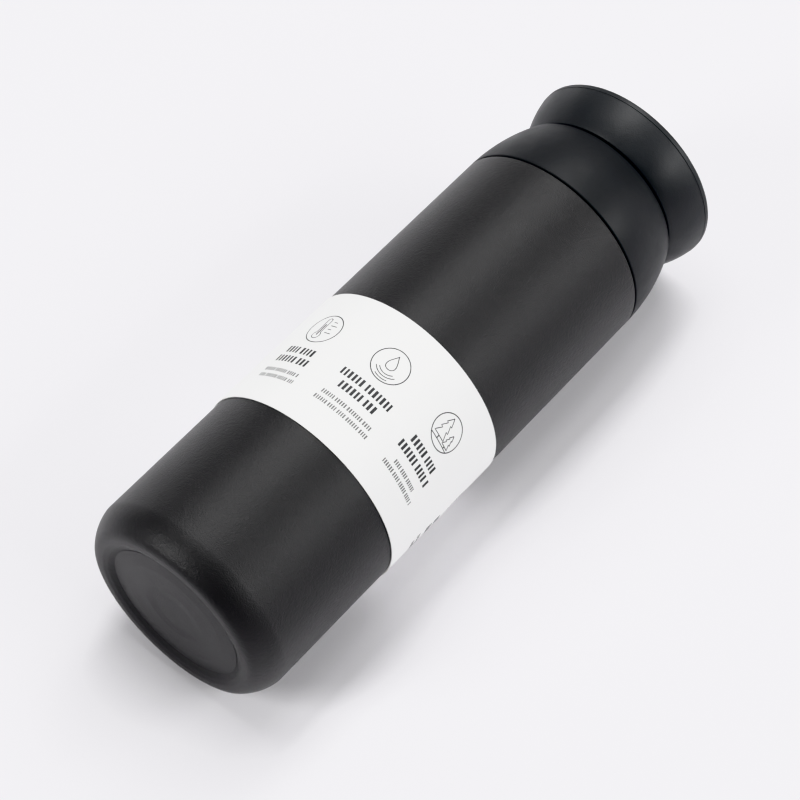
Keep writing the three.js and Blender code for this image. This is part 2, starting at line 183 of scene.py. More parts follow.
def outline(corners, closed=True, step=3.0, fine_step=None, fine_span=(0, 0), bends=7):
    """Outline in the (radius, height) half plane, through corners (r, z, fillet).

    A corner p between unit directions d and e to its neighbours, at half angle h, becomes the
    arc of its fillet f about p + f (d + e) / |d + e| / sin h, tangent at p + d f / tan h.
    Straight stretches are then cut into steps, finer where their heights meet fine_span.
    """
    points = np.array([c[:2] for c in corners], float)
    run = []
    for i, corner in enumerate(corners):
        p = points[i]
        if corner[2] <= 0 or (not closed and i in (0, len(corners) - 1)):
            run.append(p[None])
            continue
        d = points[i - 1] - p
        e = points[(i + 1) % len(points)] - p
        reach = 0.48 * min(np.linalg.norm(d), np.linalg.norm(e))
        d, e = d / np.linalg.norm(d), e / np.linalg.norm(e)
        half = np.arccos(np.clip(d @ e, -1, 1)) / 2
        fillet = min(corner[2], reach * np.tan(half))
        middle = p + (d + e) / np.linalg.norm(d + e) * fillet / np.sin(half)
        start, end = p + d * fillet / np.tan(half), p + e * fillet / np.tan(half)
        share = np.linspace(0, 1, bends)[:, None]
        chord = (start - middle) * (1 - share) + (end - middle) * share
        run.append(middle + chord / np.linalg.norm(chord, axis=1)[:, None] * fillet)
    run = np.concatenate(run)
    after = np.concatenate([run[1:], run[:1]]) if closed else run[1:]
    pieces = []
    for a, b in zip(run, after):
        fine = fine_step and min(a[1], b[1]) < fine_span[1] and max(a[1], b[1]) > fine_span[0]
        count = max(1, int(np.ceil(np.linalg.norm(b - a) / (fine_step if fine else step))))
        pieces.append(a + (b - a) * np.arange(count)[:, None] / count)
    if not closed:
        pieces.append(run[-1:])
    return np.concatenate(pieces)


def surface(name, vertices, faces, smooth=True):
    """Mesh object from vertices in millimetres and faces as an index array, shaded smooth."""
    mesh = bpy.data.meshes.new(name)
    mesh.from_pydata((np.asarray(vertices) * mm).tolist(), [], [list(f) for f in faces])
    mesh.polygons.foreach_set("use_smooth", np.full(len(mesh.polygons), smooth))
    mesh.update()
    piece = bpy.data.objects.new(name, mesh)
    scene.collection.objects.link(piece)
    return piece


def turned(name, profile, closed=True, around=224, relief=None, centre=(0, 0)):
    """Surface of revolution: vertex = (r cos a, r sin a, z), for each profile point and each
    angle a = 2 pi k / around. relief(a, r, z), in millimetres, is added to r. An open profile
    starts and ends on the axis, and each end becomes one pole with a fan of triangles."""
    ring = profile if closed else profile[1:-1]
    a = 2 * np.pi * np.arange(around) / around
    r, z = ring[:, :1], ring[:, 1:]
    r = r + (relief(a, r, z) if relief else 0 * a)
    grid = np.stack([r * np.cos(a) + centre[0], r * np.sin(a) + centre[1], z + 0 * a], axis=2)
    rows = len(ring)
    i = np.arange(rows if closed else rows - 1)[:, None] * around
    j = (i + around) % (rows * around)
    k = np.arange(around)
    k_next = (k + 1) % around
    faces = np.stack([i + k, i + k_next, j + k_next, j + k], axis=2).reshape(-1, 4).tolist()
    vertices = grid.reshape(-1, 3)
    if not closed:
        low, high = rows * around, rows * around + 1
        last = (rows - 1) * around
        poles = [(centre[0], centre[1], profile[0, 1]), (centre[0], centre[1], profile[-1, 1])]
        vertices = np.concatenate([vertices, poles])
        faces += np.stack([k_next, k, np.full(around, low)], axis=1).tolist()
        faces += np.stack([last + k, last + k_next, np.full(around, high)], axis=1).tolist()
    return surface(name, vertices, faces)


def noise(nodes, links, coords, scale, detail):
    """Noise texture on the given coordinates, by its value output."""
    node = nodes.new("ShaderNodeTexNoise")
    node.inputs["Scale"].default_value = scale
    node.inputs["Detail"].default_value = detail
    node.inputs["Roughness"].default_value = 0.55
    links.new(coords, node.inputs["Vector"])
    return node.outputs["Fac"]


def shared_group(name, inputs):
    """Shader node group with float inputs, given as (name, default), and no nodes yet but its
    ends and object coordinates."""
    group = bpy.data.node_groups.new(name, "ShaderNodeTree")
    for label, default in inputs:
        socket = group.interface.new_socket(label, in_out="INPUT", socket_type="NodeSocketFloat")
        socket.default_value = default
    for label in ("Height", "Tone"):
        group.interface.new_socket(label, in_out="OUTPUT", socket_type="NodeSocketFloat")
    given = group.nodes.new("NodeGroupInput")
    result = group.nodes.new("NodeGroupOutput")
    coords = group.nodes.new("ShaderNodeTexCoord").outputs["Object"]
    return group, given, result, coords


def math(nodes, links, operation, first, second):
    """Math node on two sockets or numbers, and its output."""
    node = nodes.new("ShaderNodeMath")
    node.operation = operation
    for slot, value in zip(node.inputs, (first, second)):
        if isinstance(value, (int, float)):
            slot.default_value = value
        else:
            links.new(value, slot)
    return node.outputs[0]


def make_grain_group():
    """Surface grain. Height = fine noise + half of a coarser one + Swell times a slow one;
    Tone = the slow noise, from 0 to 1."""
    group, given, result, coords = shared_group(
        "surface_grain", [("Grain per metre", 2500.0), ("Tone per metre", 22.0), ("Swell", 0.0)]
    )
    nodes, links = group.nodes, group.links
    fine = noise(nodes, links, coords, 1.0, 2.0)
    coarse = noise(nodes, links, coords, 1.0, 1.0)
    slow = noise(nodes, links, coords, 1.0, 4.0)
    links.new(given.outputs["Grain per metre"], fine.node.inputs["Scale"])
    third = math(nodes, links, "MULTIPLY", given.outputs["Grain per metre"], 0.35)
    links.new(third, coarse.node.inputs["Scale"])
    links.new(given.outputs["Tone per metre"], slow.node.inputs["Scale"])
    half = math(nodes, links, "MULTIPLY", coarse, 0.5)
    grain = math(nodes, links, "ADD", fine, half)
    swell = math(nodes, links, "MULTIPLY", slow, given.outputs["Swell"])
    links.new(math(nodes, links, "ADD", grain, swell), result.inputs["Height"])
    links.new(slow, result.inputs["Tone"])
    return group


surface_grain = make_grain_group()


def grained(
    name, color, dark, roughness, rougher, grain, tone, depth, metallic=0.0, specular=0.5, swell=0.0
):
    """Principled material whose colour goes from dark to color, and its roughness from
    roughness to rougher, with the slow tone of the grain group, and whose bump is its height."""
    material = bpy.data.materials.new(name)
    nodes, links = nodes_of(material)
    shader = nodes["Principled BSDF"]
    shader.inputs["Metallic"].default_value = metallic
    shader.inputs["Specular IOR Level"].default_value = specular
    group = nodes.new("ShaderNodeGroup")
    group.node_tree = surface_grain
    group.inputs["Grain per metre"].default_value = grain
    group.inputs["Tone per metre"].default_value = tone
    group.inputs["Swell"].default_value = swell
    blend = nodes.new("ShaderNodeMix")
    blend.data_type = "RGBA"
    blend.inputs["A"].default_value = (*dark, 1)
    blend.inputs["B"].default_value = (*color, 1)
    links.new(group.outputs["Tone"], blend.inputs["Factor"])
    links.new(blend.outputs["Result"], shader.inputs["Base Color"])
    spread = nodes.new("ShaderNodeMapRange")
    spread.inputs["From Min"].default_value = 0.3
    spread.inputs["From Max"].default_value = 0.7
    spread.inputs["To Min"].default_value = roughness
    spread.inputs["To Max"].default_value = rougher
    links.new(group.outputs["Tone"], spread.inputs["Value"])
    links.new(spread.outputs["Result"], shader.inputs["Roughness"])
    bump = nodes.new("ShaderNodeBump")
    bump.inputs["Strength"].default_value = 1.0
    bump.inputs["Distance"].default_value = depth
    links.new(group.outputs["Height"], bump.inputs["Height"])
    links.new(bump.outputs["Normal"], shader.inputs["Normal"])
    return material


def place(piece, material, body, slot, *stands_for):
    """Finishes a piece: its material, the body it rides on and the nodes it stands for. Its slot is not
    used.
    """
    piece.data.materials.append(material)
    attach(piece, body)
    if stands_for:
        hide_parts(*stands_for)


powder_coat = grained(
    "powder_coat",
    (0.0165, 0.0162, 0.017),
    (0.0125, 0.0123, 0.013),
    0.40,
    0.45,
    2500,
    25,
    0.00014,
    specular=0.46,
)
coat_shader = powder_coat.node_tree.nodes["Principled BSDF"]
coat_shader.inputs["Sheen Weight"].default_value = 0.04
coat_shader.inputs["Sheen Roughness"].default_value = 0.45

body_r, _, body_top = span("outer_shell")
sheet = 0.45  # thickness of the steel
corner_r = 15.5
corner_z = 11.67  # height of the centre of the corner's arc
foot_in = 28.4  # inner radius of the foot ring
hollow = 1.75  # height of the hollow inside it
corner_in = body_r - corner_r  # radius of the circle that the corner's arc is centred on
foot_roll = 4.2  # radius of the softer bend from the corner into the foot ring
roll_sin = (corner_z - foot_roll) / (corner_r - foot_roll)
roll_deg = np.degrees(np.arcsin(roll_sin))
roll_r = corner_in + (corner_r - foot_roll) * np.cos(np.radians(roll_deg))
crease_deg = 11.0  # the corner starts with a tight bend by this angle
crease_r = 7.0
crease_cos, crease_sin = np.cos(np.radians(crease_deg)), np.sin(np.radians(crease_deg))
roll_cos = np.cos(np.radians(roll_deg))
wide_r = body_r - crease_r + crease_r * crease_cos - roll_r - foot_roll * roll_cos
wide_r /= crease_cos - roll_cos  # radius of the arc that meets the tight bend and the roll
wide_in = roll_r - (wide_r - foot_roll) * roll_cos
wide_z = foot_roll + (wide_r - foot_roll) * roll_sin
crease_z = wide_z - (wide_r - crease_r) * crease_sin
top_lip = 1.5  # the top edge is rolled in by this much
seam_cover = 0.18  # the top edge and the collar's lower edge each close the seam by this much

body_outline = outline(
    [
        (1.3, hollow + 1.0, 0.2),
        (4.6, hollow + 1.0, 0.8),
        (6.0, hollow, 0.8),
        (foot_in - 3.0, hollow, 0.8),
        (foot_in - 1.2, 0.6, 3.0),
        (foot_in + 0.6, 0.0, 3.0),
        *arc(roll_r, foot_roll, foot_roll, -90, -roll_deg, 20),
        *arc(wide_in, wide_z, wide_r, 1 - roll_deg, -crease_deg - 0.5, 36),
        *arc(body_r - crease_r, crease_z, crease_r, -crease_deg, 0, 8),
        (body_r, body_top + seam_cover, 0.4),
        (body_r - top_lip, body_top + seam_cover, 0.2),
        (body_r - top_lip, body_top - sheet, 0.2),
        (body_r - sheet, body_top - sheet, 0.3),
        *arc(corner_in, corner_z, corner_r - sheet, 0, 1 - roll_deg),
        *arc(roll_r, foot_roll, foot_roll - sheet, -roll_deg, -90, 12),
        (foot_in - 0.1, sheet, 0.6),
        (foot_in - 2.7, hollow + sheet, 0.6),
        (6.3, hollow + sheet, 0.6),
        (4.9, hollow + sheet + 1.0, 0.6),
        (1.3, hollow + sheet + 1.0, 0.15),
    ]
)
body_skin = turned("body_skin", body_outline, around=288)
place(body_skin, powder_coat, "vessel", "powder_coat", "outer_shell", "outer_bottom")

# ---- Base cover ----------------------------------------------------------------------
# Thin disc glued into the hollow of the foot, over the seal, with a pressed circle in it.
# It has the body's coat.

cover_r, cover_low, cover_high = span("base_cover")
cover_outline = outline(
    [
        (0, cover_low + 0.28, 0),
        (7.6, cover_low + 0.28, 3.0),
        (11.4, cover_low, 3.0),
        (19.5, cover_low + 0.1, 8.0),
        (cover_r, cover_low + 0.64, 0.1),
        (cover_r, cover_high + 0.27, 0.05),
        (0, cover_high + 0.27, 0),
    ],
    closed=False,
)
base_cover = turned("base_cover_disc", cover_outline, closed=False)
place(base_cover, powder_coat, "vessel", "powder_coat", "base_cover")

# ---- Inner wall ----------------------------------------------------------------------
# Deep-drawn stainless wall of the drinking space, polished, with a rolled two-start
# thread in its neck and a flange welded inside the top edge of the body.

thread_lead = 8.0
thread_turns = 0.65  # how far each start runs round
thread_fade = 1 / 14  # share of a turn over which its ends rise
thread_base, thread_crest = 1.6, 0.8  # widths of the ridge
thread_offset = 1.9  # how far under its mate's ridges an outer thread starts
thread_row = 0.16  # height of a row of faces over a thread
neck_thread_z = 177.0
spout_thread_z = 213.4


def ease(x):
    """Smooth step from 0 to 1: x^2 (3 - 2 x)."""
    return x * x * (3 - 2 * x)


def ridge(angle, height, start):
    """Two-start right-hand thread: 1 on a crest, falling to 0 over its flanks and at its ends.

    A start at angle s has its crest at height start + lead t, where t is the share of a turn
    from s, for as long as t is under thread_turns."""
    total = 0 * angle * height
    for first in (0.0, np.pi):
        turn = np.mod(angle - first, 2 * np.pi) / (2 * np.pi)
        off = np.abs(height - start - turn * thread_lead)
        flank = np.clip((thread_base / 2 - off) / ((thread_base - thread_crest) / 2), 0, 1)
        ends = np.clip(np.minimum(turn, thread_turns - turn) / thread_fade, 0, 1)
        total = np.maximum(total, ease(flank) * ease(ends))
    return total


def threaded(wall_r, height, start, reach=0.1):
    """Relief of a thread of that height on the wall of that radius, between its ends' heights."""

    def relief(angle, r, z):
        """Height of the ridge, on the wall only."""
        on_wall = (np.abs(r - wall_r) < reach) & (z > start - 1.5) & (z < start + 7.5)
        return height * ridge(angle, z, start) * on_wall

    return relief


def make_steel():
    """Drawn and polished stainless steel: bright metal with faint rings left by the drawing.
    The bump is noise on coordinates squeezed along the axis, so its marks run round."""
    material = bpy.data.materials.new("polished_steel")
    nodes, links = nodes_of(material)
    shader = nodes["Principled BSDF"]
    shader.inputs["Base Color"].default_value = (0.58, 0.575, 0.57, 1)
    shader.inputs["Metallic"].default_value = 1.0
    mapping = nodes.new("ShaderNodeMapping")
    mapping.inputs["Scale"].default_value = (30, 30, 2600)
    links.new(nodes.new("ShaderNodeTexCoord").outputs["Object"], mapping.inputs["Vector"])
    marks = noise(nodes, links, mapping.outputs["Vector"], 1.0, 3.0)
    spread = nodes.new("ShaderNodeMapRange")
    spread.inputs["To Min"].default_value = 0.2
    spread.inputs["To Max"].default_value = 0.36
    links.new(marks, spread.inputs["Value"])
    links.new(spread.outputs["Result"], shader.inputs["Roughness"])
    bump = nodes.new("ShaderNodeBump")
    bump.inputs["Distance"].default_value = 0.00001
    links.new(marks, bump.inputs["Height"])
    links.new(bump.outputs["Normal"], shader.inputs["Normal"])
    return material


polished_steel = make_steel()

_, vessel_low, vessel_top = span("inner_vessel")
flange_r = body_r - top_lip - 0.1
bore_r, bore_floor = 32.4, 9.0
neck_r, neck_floor = 34.3, 169.6
vessel_outline = outline(
    [
        (0, vessel_low, 0),
        *arc(bore_r - 10, bore_floor + 10, 10 + sheet, -90, 0),
        (bore_r + sheet, neck_floor - 1.0, 0.4),
        (bore_r + 1.0, neck_floor - sheet, 0.3),
        (neck_r + sheet, neck_floor - sheet, 0.3),
        (neck_r + sheet, vessel_top - sheet, 0.2),
        (flange_r, vessel_top - sheet, 0.1),
        (flange_r, vessel_top, 0.15),
        (neck_r, vessel_top, 0.5),
        (neck_r, neck_floor, 0.3),
        (bore_r, neck_floor, 0.4),
        *arc(bore_r - 10, bore_floor + 10, 10, 0, -90),
        (0, bore_floor, 0),
    ],
    closed=False,
    fine_step=thread_row,
    fine_span=(neck_thread_z - 1.3, neck_thread_z + 7.0),
)
inner_wall = turned(
    "inner_wall", vessel_outline, closed=False, relief=threaded(neck_r, -0.8, neck_thread_z)
)
place(inner_wall, polished_steel, "vessel", "bare_steel", "inner_vessel")

# ---- In the vacuum -------------------------------------------------------------------
# Copper foil laid round the inner wall and under its bottom, a getter pill in its spot-
# welded cup, and the bead of solder that closes the evacuation hole.


def crinkle(angle, r, z):
    """Relief of hand-laid foil, in millimetres: a sum of slanted waves of different pitch."""
    waves = np.sin(19 * angle + 0.31 * z) + np.sin(31 * angle - 0.17 * z + 1.3)
    waves = waves + np.sin(7 * angle + 0.53 * z + 0.4) + np.sin(47 * angle + 0.11 * z + 2.0)
    return 0.03 * waves


copper = grained(
    "copper_foil", (0.72, 0.33, 0.2), (0.6, 0.25, 0.14), 0.2, 0.34, 700, 40, 0.00006, metallic=1.0
)
foil_r, foil_low, foil_high = span("copper_foil")
foil_outline = outline(
    [
        (foil_r - 0.1, foil_low, 0.02),
        (foil_r, foil_low, 0.02),
        (foil_r, foil_high, 0.02),
        (foil_r - 0.1, foil_high, 0.02),
    ],
    bends=2,
)
foil_wrap = turned("foil_wrap", foil_outline, relief=crinkle)
place(foil_wrap, copper, "vessel", "copper", "copper_foil")

disc_r, disc_low, disc_high = span("foil_base_disc")
disc_outline = outline(
    [(0, disc_low, 0), (disc_r, disc_low, 0.03), (disc_r, disc_high, 0.03), (0, disc_high, 0)],
    closed=False,
    bends=2,
)
foil_disc = turned("foil_disc", disc_outline, closed=False, around=96)
place(foil_disc, copper, "vessel", "copper", "foil_base_disc")

clip_low, clip_high = (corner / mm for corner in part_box("getter_clip"))
getter_at = ((clip_low.x + clip_high.x) / 2, (clip_low.y + clip_high.y) / 2)
clip_z, clip_top = clip_low.z, clip_high.z
clip_outline = outline(
    [
        (1.2, clip_z, 0.1),
        (4.9, clip_z, 0.6),
        (4.9, clip_top, 0.5),
        (3.2, clip_top, 0.15),
        (3.2, clip_top - 0.5, 0.1),
        (4.3, clip_top - 0.5, 0.2),
        (4.3, clip_z + 0.6, 0.2),
        (1.2, clip_z + 0.6, 0.1),
    ]
)
getter_cup = turned("getter_cup", clip_outline, around=96, centre=getter_at)
place(getter_cup, polished_steel, "vessel", "bare_steel", "getter_clip")

sintered = grained(
    "sintered_powder", (0.16, 0.155, 0.15), (0.09, 0.088, 0.085), 0.7, 0.9, 3000, 300, 0.0001, 0.4
)
pill_z, pill_top = (corner.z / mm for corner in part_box("getter_pill"))
pill_outline = outline(
    [(0, pill_z, 0), (3.9, pill_z, 0.3), (3.9, pill_top, 0.3), (0, pill_top, 0)], closed=False
)
pill = turned("getter_tablet", pill_outline, closed=False, around=96, centre=getter_at)
place(pill, sintered, "vessel", "getter_metal", "getter_pill")

solder = grained(
    "solder", (0.5, 0.5, 0.52), (0.36, 0.36, 0.38), 0.3, 0.5, 900, 200, 0.00004, metallic=1.0
)
bead_r, bead_low, bead_high = span("seal_bead")
bead_outline = outline(
    [(0, bead_low, 0), (2.2, bead_low + 0.1, 1.0), (bead_r, bead_high, 0.2), (0, bead_high, 0)],
    closed=False,
)
bead = turned("solder_bead", bead_outline, closed=False, around=64)
place(bead, solder, "vessel", "solder", "seal_bead")

# ---- Drinking collar -----------------------------------------------------------------
# Two polypropylene mouldings welded together: a domed outer shell, and a core with the
# skirt that screws into the neck, the gasket seat and the round drinking lip.

black_plastic = grained(
    "black_plastic",
    (0.0118, 0.0132, 0.015),
    (0.008, 0.009, 0.0105),
    0.44,
    0.54,
    3000,
    90,
    0.00003,
    specular=0.42,
    swell=5.0,
)

dome_r, dome_low, dome_high = span("collar_shell")
dome_high -= 0.25  # which opens the groove under the cap
dome_arc = 64.0  # radius of the domed side
plastic = 1.8  # wall thickness of the mouldings
lip_r, lip_in = 29.2, 27.3
clearance = 0.6


def side_arc(centre_r, centre_z, radius, from_z, to_z, count=32):
    """Points on the outer side of an arc between two heights."""
    angles = [np.degrees(np.arcsin((z - centre_z) / radius)) for z in (from_z, to_z)]
    return arc(centre_r, centre_z, radius, *angles, count)


dome_middle = dome_r - dome_arc
dome_side = side_arc(dome_middle, dome_low, dome_arc, dome_low + 1.2, dome_high - 1.6)
dome_inside = side_arc(
    dome_middle, dome_low, dome_arc - plastic, dome_high - plastic, dome_low + 0.4, 16
)
dome_outline = outline(
    [
        (dome_r - plastic, dome_low - seam_cover, 0.3),
        (dome_r, dome_low - seam_cover, 0.4),
        *dome_side,
        (31.95, dome_high, 1.1),
        (lip_r + clearance, dome_high, 0.2),
        (lip_r + clearance, dome_high - plastic, 0.2),
        *dome_inside,
    ]
)
collar_dome = turned("collar_dome", dome_outline, around=288)
place(collar_dome, black_plastic, "collar", "black_plastic", "collar_shell")

core_flange_r, skirt_low, lip_top = span("collar_core")
skirt_r, skirt_in = 32.9, 30.9
flange_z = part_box("outer_shell")[1].z / mm + 0.3
seat_z, seat_in = 207.0, 24.4
lip_round = (lip_r - lip_in) / 2
core_corners = [
    (skirt_in, skirt_low, 0.2),
    (skirt_r, skirt_low, 0.4),
    (skirt_r, flange_z, 0.2),
    (core_flange_r, flange_z, 0.3),
    (core_flange_r, flange_z + plastic, 0.3),
    (skirt_r, flange_z + plastic, 0.4),
    (skirt_r, 197.6, 1.5),
    (lip_r, 202.4, 1.5),
    *arc(lip_r - lip_round, lip_top - lip_round, lip_round, 0, 180, 16),
    (lip_in, seat_z, 0.3),
    (seat_in, seat_z, 0.4),
    (seat_in, seat_z - plastic, 0.4),
    (skirt_in, 197.0, 3.0),
]
core_outline = outline(
    core_corners, fine_step=thread_row, fine_span=(neck_thread_z - thread_offset - 1.2, neck_thread_z + 4.6)
)
skirt_thread = threaded(skirt_r, 1.0, neck_thread_z - thread_offset)
spout_thread = threaded(lip_in, -0.9, spout_thread_z)


def with_fine_stretch(profile, radius, low, high):
    """Puts rows for a thread into the upright stretch of a closed profile at a radius."""
    on = np.abs((profile[:, 0] + np.roll(profile, -1, axis=0)[:, 0]) / 2 - radius) < 0.01
    after = np.roll(profile, -1, axis=0)
    rows = []
    for a, b, upright in zip(profile, after, on):
        inside = upright and min(a[1], b[1]) < high and max(a[1], b[1]) > low
        count = max(1, int(np.ceil(np.linalg.norm(b - a) / thread_row))) if inside else 1
        rows.append(a + (b - a) * np.arange(count)[:, None] / count)
    return np.concatenate(rows)


core_outline = with_fine_stretch(core_outline, lip_in, spout_thread_z - 1.2, spout_thread_z + 6.8)
collar_core = turned(
    "collar_core_moulding",
    core_outline,
    relief=lambda angle, r, z: skirt_thread(angle, r, z) + spout_thread(angle, r, z),
)
place(collar_core, black_plastic, "collar", "black_plastic", "collar_core")

# ---- Flow guard ----------------------------------------------------------------------
# Moulded disc snapped into the collar. Four long slots round its edge steady the flow,
# so that the drink comes evenly on any side of the lip.


def slotted_disc(name, radii, slots, slot_row, arm_deg, thickness, low):
    """Disc on a polar grid of the given radii, without the faces between arms in slot_row.

    Vertex = (r cos a, r sin a, low + thickness / 2). The angles are laid so that each arm's
    two edges fall on grid lines: four steps over an arm, and twelve over a slot."""
    arm_steps, slot_steps = 4, 12
    pitch = 360 / slots
    edges = []
    for first in pitch * np.arange(slots):
        arm_end = first + arm_deg
        edges.append(np.linspace(first - arm_deg, arm_end, arm_steps, endpoint=False))
        edges.append(np.linspace(arm_end, first + pitch - arm_deg, slot_steps, endpoint=False))
    a = np.radians(np.concatenate(edges))
    around = len(a)
    r = np.array(radii)[:, None]
    grid = np.stack([r * np.cos(a), r * np.sin(a), 0 * r + 0 * a + low + thickness / 2], axis=2)
    centre = [(0, 0, low + thickness / 2)]
    k = np.arange(around)
    k_next = (k + 1) % around
    in_slot = k % (arm_steps + slot_steps) >= arm_steps
    faces = np.stack([k, k_next, np.full(around, len(radii) * around)], axis=1).tolist()
    for i in range(len(radii) - 1):
        keep = k[~in_slot] if i == slot_row else k
        n = k_next[keep]
        quads = [i * around + keep, (i + 1) * around + keep, (i + 1) * around + n, i * around + n]
        faces += np.stack(quads, axis=1).tolist()
    disc = surface(name, np.concatenate([grid.reshape(-1, 3), centre]), faces)
    thick = disc.modifiers.new("thickness", "SOLIDIFY")
    thick.thickness = thickness * mm
    thick.offset = 0
    soft = disc.modifiers.new("moulded", "SUBSURF")
    soft.levels = soft.render_levels = 2
    return disc


guard_r, guard_low, guard_high = span("flow_guard")
slot_in, slot_out = 21.6, 27.2
guard_radii = [2.0, 6.0, 12.0, 17.0, slot_in - 1.2, slot_in - 0.4, slot_in, slot_out]
guard_radii += [slot_out + 0.4, slot_out + 1.0, guard_r - 0.9, guard_r - 0.2, guard_r]
flow_guard = slotted_disc(
    "flow_guard_disc",
    guard_radii,
    slots=4,
    slot_row=guard_radii.index(slot_in),
    arm_deg=10.0,
    thickness=guard_high - guard_low,
    low=guard_low,
)
place(flow_guard, black_plastic, "collar", "black_plastic", "flow_guard")

# ---- Collar gasket -------------------------------------------------------------------
# Moulded silicone ring snapped on the end of the skirt. Its two lips press on the ledge
# in the neck.

silicone = grained(
    "silicone", (0.5, 0.5, 0.48), (0.42, 0.42, 0.41), 0.5, 0.62, 1800, 60, 0.00001
)
silicone_shader = silicone.node_tree.nodes["Principled BSDF"]
silicone_shader.inputs["Subsurface Weight"].default_value = 0.25
silicone_shader.inputs["Subsurface Scale"].default_value = 0.002

seal_r, seal_low, seal_high = span("collar_gasket")
seal_outline = outline(
    [
        (31.2, seal_low + 0.4, 0.2),
        (31.7, seal_low, 0.2),
        (32.2, seal_low + 0.35, 0.2),
        (32.7, seal_low, 0.2),
        (seal_r, seal_low + 0.7, 0.2),
        (32.8, seal_low + 1.2, 0.2),
        (32.9, seal_high, 0.2),
        (31.2, seal_high, 0.2),
    ]
)
collar_seal = turned("collar_seal_ring", seal_outline)
place(collar_seal, silicone, "collar_seal", "silicone", "collar_gasket")

# ---- Screw cap -----------------------------------------------------------------------
# Flared polypropylene side wall with a top plate snapped on it, and a hollow stopper,
# welded to a ledge inside, that screws into the drinking lip.

_, cap_low, part_line = span("cap_shell")
cap_low += 0.2  # which opens the groove over the collar

cap_plastic = grained(
    "cap_plastic",
    (0.020, 0.022, 0.0245),
    (0.013, 0.0145, 0.0165),
    0.41,
    0.52,
    3000,
    90,
    0.00003,
    swell=5.0,
)
plate_r, _, cap_top = span("cap_top_plate")
flare_arc, flare_top_r, flare_top_z = 32.0, 36.7, 234.0
flare_middle = flare_top_r - flare_arc
flare_in = flare_arc - plastic
part_r = 36.38  # of the side wall's top edge
shelf_z = 221.7  # top of the ledge that carries the stopper
shelf_in = 30.2
shelf_low = shelf_z - 1.5

flare_outline = outline(
    [
        (lip_r + clearance, cap_low, 0.25),
        (31.0, cap_low, 0.45),
        *side_arc(flare_middle, flare_top_z, flare_arc, cap_low + 1.0, part_line - 0.35),
        (part_r, part_line, 0.25),
        (34.6, part_line, 0.2),
        *side_arc(flare_middle, flare_top_z, flare_in, part_line - 0.4, shelf_z + 0.2, 12),
        (32.3, shelf_z, 0.2),
        (shelf_in, shelf_z, 0.3),
        (shelf_in, shelf_low, 0.3),
        *side_arc(flare_middle, flare_top_z, flare_in, shelf_low, cap_low + 1.6, 8),
    ]
)
cap_side = turned("cap_side", flare_outline, around=288)
place(cap_side, cap_plastic, "cap", "black_plastic", "cap_shell")

plate_low = part_line + 0.08
rim_r = 2.0  # of the rounded edge
dish_r, dish = 32.4, 0.35  # radius and depth of the step in the top
snap_r, snap_low = 33.4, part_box("cap_top_plate")[0].z / mm
plate_outline = outline(
    [
        (0, plate_low, 0),
        (snap_r - 1.4, plate_low, 0.3),
        (snap_r - 1.4, snap_low, 0.2),
        (snap_r, snap_low, 0.5),
        (snap_r, plate_low, 0.2),
        (plate_r, plate_low, 0.15),
        (plate_r, cap_top, rim_r),
        (dish_r + 0.6, cap_top, 0.6),
        (dish_r, cap_top - dish, 0.6),
        (0, cap_top - dish, 0),
    ],
    closed=False,
    bends=12,
)
cap_plate = turned("cap_plate", plate_outline, closed=False, around=288)
place(cap_plate, cap_plastic, "cap", "black_plastic", "cap_top_plate")

plug_flange_r, plug_low, plug_high = span("cap_plug")
plug_r, nose_r = 26.0, 23.4
shoulder_z = seat_z + 2.6
plug_outline = outline(
    [
        (0, plug_low + 0.5, 0),
        (15.0, plug_low + 0.5, 0.6),
        (16.0, plug_low, 0.6),
        (nose_r, plug_low, 1.0),
        (nose_r, shoulder_z, 0.2),
        (plug_r, shoulder_z, 0.3),
        (plug_r, shelf_z + 0.3, 0.3),
        (plug_flange_r, shelf_z + 0.3, 0.3),
        (plug_flange_r, plug_high, 0.3),
        (plug_r - plastic, plug_high, 0.3),
        (plug_r - plastic, shoulder_z + plastic, 0.3),
        (nose_r - plastic, shoulder_z + plastic, 0.4),
        (nose_r - plastic, plug_low + plastic, 0.6),
        (0, plug_low + plastic, 0),
    ],
    closed=False,
    fine_step=thread_row,
    fine_span=(spout_thread_z - thread_offset - 1.2, spout_thread_z + 4.6),
)
cap_stopper = turned(
    "cap_stopper",
    plug_outline,
    closed=False,
    relief=threaded(plug_r, 0.9, spout_thread_z - thread_offset),
)
place(cap_stopper, cap_plastic, "cap", "black_plastic", "cap_plug")

# ---- Stopper's foam and gasket -------------------------------------------------------
# A die-cut block of closed-cell foam fills the stopper, and a silicone ring round its
# nose seals on the seat inside the lip.

foam = grained("foam", (0.78, 0.76, 0.7), (0.66, 0.64, 0.58), 0.85, 0.95, 900, 90, 0.0003)
foam_r, foam_low, foam_high = span("cap_insulation")
foam_step = shoulder_z + plastic + 0.3
foam_nose_r = nose_r - plastic - 0.3
foam_outline = outline(
    [
        (0, foam_low, 0),
        (foam_nose_r, foam_low, 0.6),
        (foam_nose_r, foam_step, 0.2),
        (foam_r, foam_step, 0.3),
        (foam_r, foam_high, 0.8),
        (0, foam_high, 0),
    ],
    closed=False,
)
foam_block = turned("foam_block", foam_outline, closed=False)
place(foam_block, foam, "cap", "foam", "cap_insulation")

nose_seal_r, nose_seal_low, nose_seal_high = span("cap_gasket")
nose_seal_outline = outline(
    [
        (nose_r + 0.3, nose_seal_low + 0.3, 0.2),
        (24.4, nose_seal_low, 0.2),
        (25.0, nose_seal_low + 0.3, 0.2),
        (25.6, nose_seal_low, 0.2),
        (nose_seal_r, nose_seal_low + 0.6, 0.2),
        (25.8, nose_seal_high, 0.3),
        (nose_r + 0.3, nose_seal_high, 0.3),
    ]
)
cap_seal = turned("cap_seal_ring", nose_seal_outline)
place(cap_seal, silicone, "cap_seal", "silicone", "cap_gasket")

